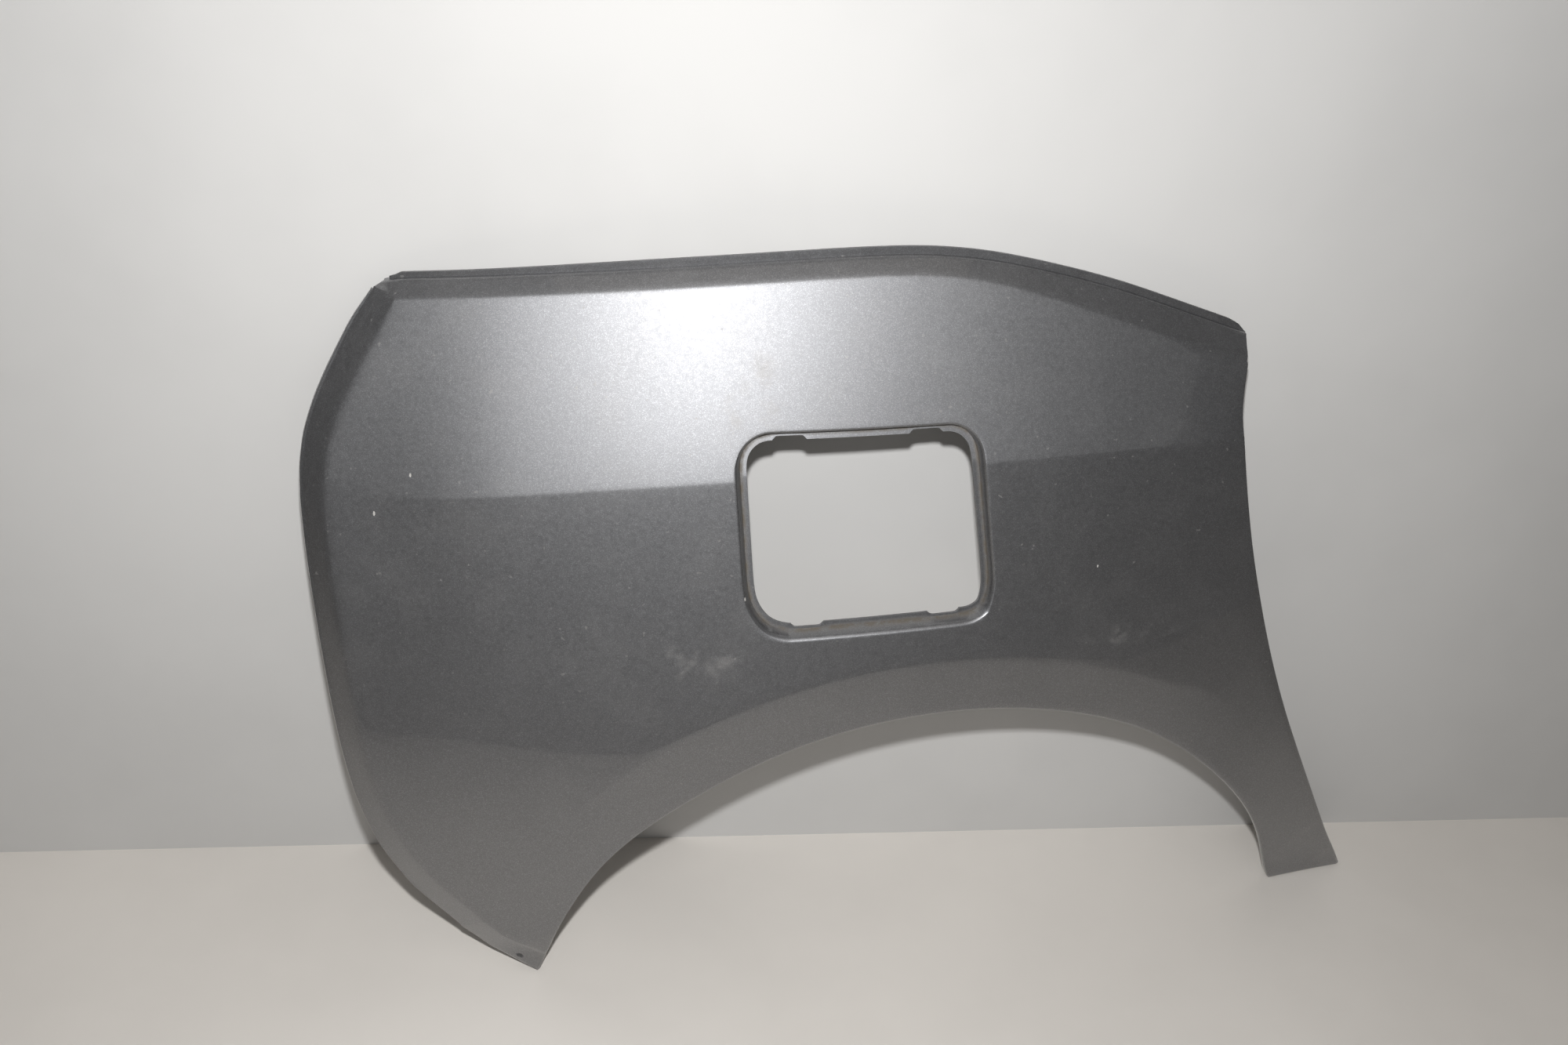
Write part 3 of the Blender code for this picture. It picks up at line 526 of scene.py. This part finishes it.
class PANEL_OT_stage(bpy.types.Operator):
    """Lay a plain pale floor and stand a plain pale backdrop behind the panel"""

    bl_idname = "side_panel.stage"
    bl_label = "Floor and backdrop"

    def execute(self, context):
        look = context.scene.panel_stage
        back = BACK + look.wall_gap
        sheets = (
            ("floor", look.floor, (look.width, look.depth), (0.0, back - look.depth / 2, STANDING_LINE), 0.0),
            (
                "backdrop",
                look.wall,
                (look.width, look.height),
                (0.0, back, STANDING_LINE + look.height / 2),
                math.pi / 2,
            ),
        )
        for name, shade, size, place, turn in sheets:
            stretch = Matrix.Diagonal((size[0], size[1], 1.0, 1.0))
            matrix = Matrix.Translation(place) @ Matrix.Rotation(turn, 4, "X") @ stretch
            mesh = bmesh.new()
            bmesh.ops.create_grid(mesh, x_segments=1, y_segments=1, size=0.5, matrix=matrix)
            data = bpy.data.meshes.new(name)
            mesh.to_mesh(data)
            mesh.free()
            data.materials.append(plain_surface(name + "_surface", shade))
            sheet = bpy.data.objects.new(name, data)
            context.scene.collection.objects.link(sheet)
        return {"FINISHED"}


def looking(place, forward, up):
    """A matrix that stands at place and looks forward, as lamps and cameras do along their -Z."""
    back = -Vector(forward).normalized()
    right = Vector(up).cross(back).normalized()
    turned = Matrix((right, back.cross(right), back)).transposed()
    return Matrix.Translation(place) @ turned.to_4x4()


class PANEL_OT_lights(bpy.types.Operator):
    """Set up the soft lamps, the even light all round and the camera"""

    bl_idname = "side_panel.lights"
    bl_label = "Lights and camera"

    def execute(self, context):
        look = context.scene.panel_light
        eye = Vector(look.camera_place)
        camera = bpy.data.cameras.new("view")
        camera.lens = look.camera_lens
        camera.sensor_width = SENSOR_WIDTH
        viewer = bpy.data.objects.new("view", camera)
        viewer.matrix_world = looking(eye, VIEW_FORWARD, VIEW_UP)
        context.scene.collection.objects.link(viewer)
        context.scene.camera = viewer

        flash = looking(eye + VIEW_UP * FLASH_RISE, VIEW_FORWARD, VIEW_UP)
        front = looking(FRONT_PLACE, FRONT_AIM, (0.0, 0.0, 1.0))
        overhead = looking(FILL_PLACE, FILL_AIM, (0.0, 1.0, 0.0))
        lamps = (
            ("key", look.key_power, (look.key_size, look.key_size), look.key_tint, flash),
            ("front", look.front_power, FRONT_SIZE, look.key_tint, front),
            ("fill", look.fill_power, FILL_SIZE, look.fill_tint, overhead),
        )
        for name, power, size, tint, place in lamps:
            lamp = bpy.data.lights.new(name, "AREA")
            lamp.shape = "RECTANGLE"
            lamp.size, lamp.size_y = size
            lamp.spread = look.key_spread if name == "key" else math.pi
            lamp.energy = power
            lamp.color = tint
            light = bpy.data.objects.new(name, lamp)
            light.matrix_world = place
            context.scene.collection.objects.link(light)

        world = bpy.data.worlds.new("even_light")
        world.use_nodes = True
        sky = world.node_tree.nodes["Background"]
        sky.inputs["Strength"].default_value = look.world
        sky.inputs["Color"].default_value = SKY_TINT
        context.scene.world = world
        context.scene.view_settings.view_transform = "Standard"
        return {"FINISHED"}


class PANEL_PT_sidebar(bpy.types.Panel):
    """Sizes, colours and steps of the side panel"""

    bl_idname = "PANEL_PT_sidebar"
    bl_label = "Side panel"
    bl_space_type = "VIEW_3D"
    bl_region_type = "UI"
    bl_category = "Side panel"

    def draw(self, context):
        for group in GROUPS:
            box = self.layout.box()
            settings = getattr(context.scene, group)
            for key in settings.__annotations__:
                box.prop(settings, key)
        for step in STEPS:
            self.layout.operator(step.bl_idname)


GROUPS = {
    "panel_shape": PanelShape,
    "panel_paint": PaintLook,
    "panel_stage": StageLook,
    "panel_light": LightLook,
}
STEPS = (PANEL_OT_skin, PANEL_OT_stage, PANEL_OT_lights)
CLASSES = tuple(GROUPS.values()) + STEPS + (PANEL_PT_sidebar,)


def register():
    for listed in CLASSES:
        bpy.utils.register_class(listed)
    for name, group in GROUPS.items():
        setattr(bpy.types.Scene, name, PointerProperty(type=group))


def unregister():
    for name in GROUPS:
        delattr(bpy.types.Scene, name)
    for listed in reversed(CLASSES):
        bpy.utils.unregister_class(listed)


def main():
    register()
    bpy.ops.side_panel.skin()
    bpy.ops.side_panel.stage()
    bpy.ops.side_panel.lights()
    bpy.context.view_layer.update()


if __name__ == "__main__":
    main()
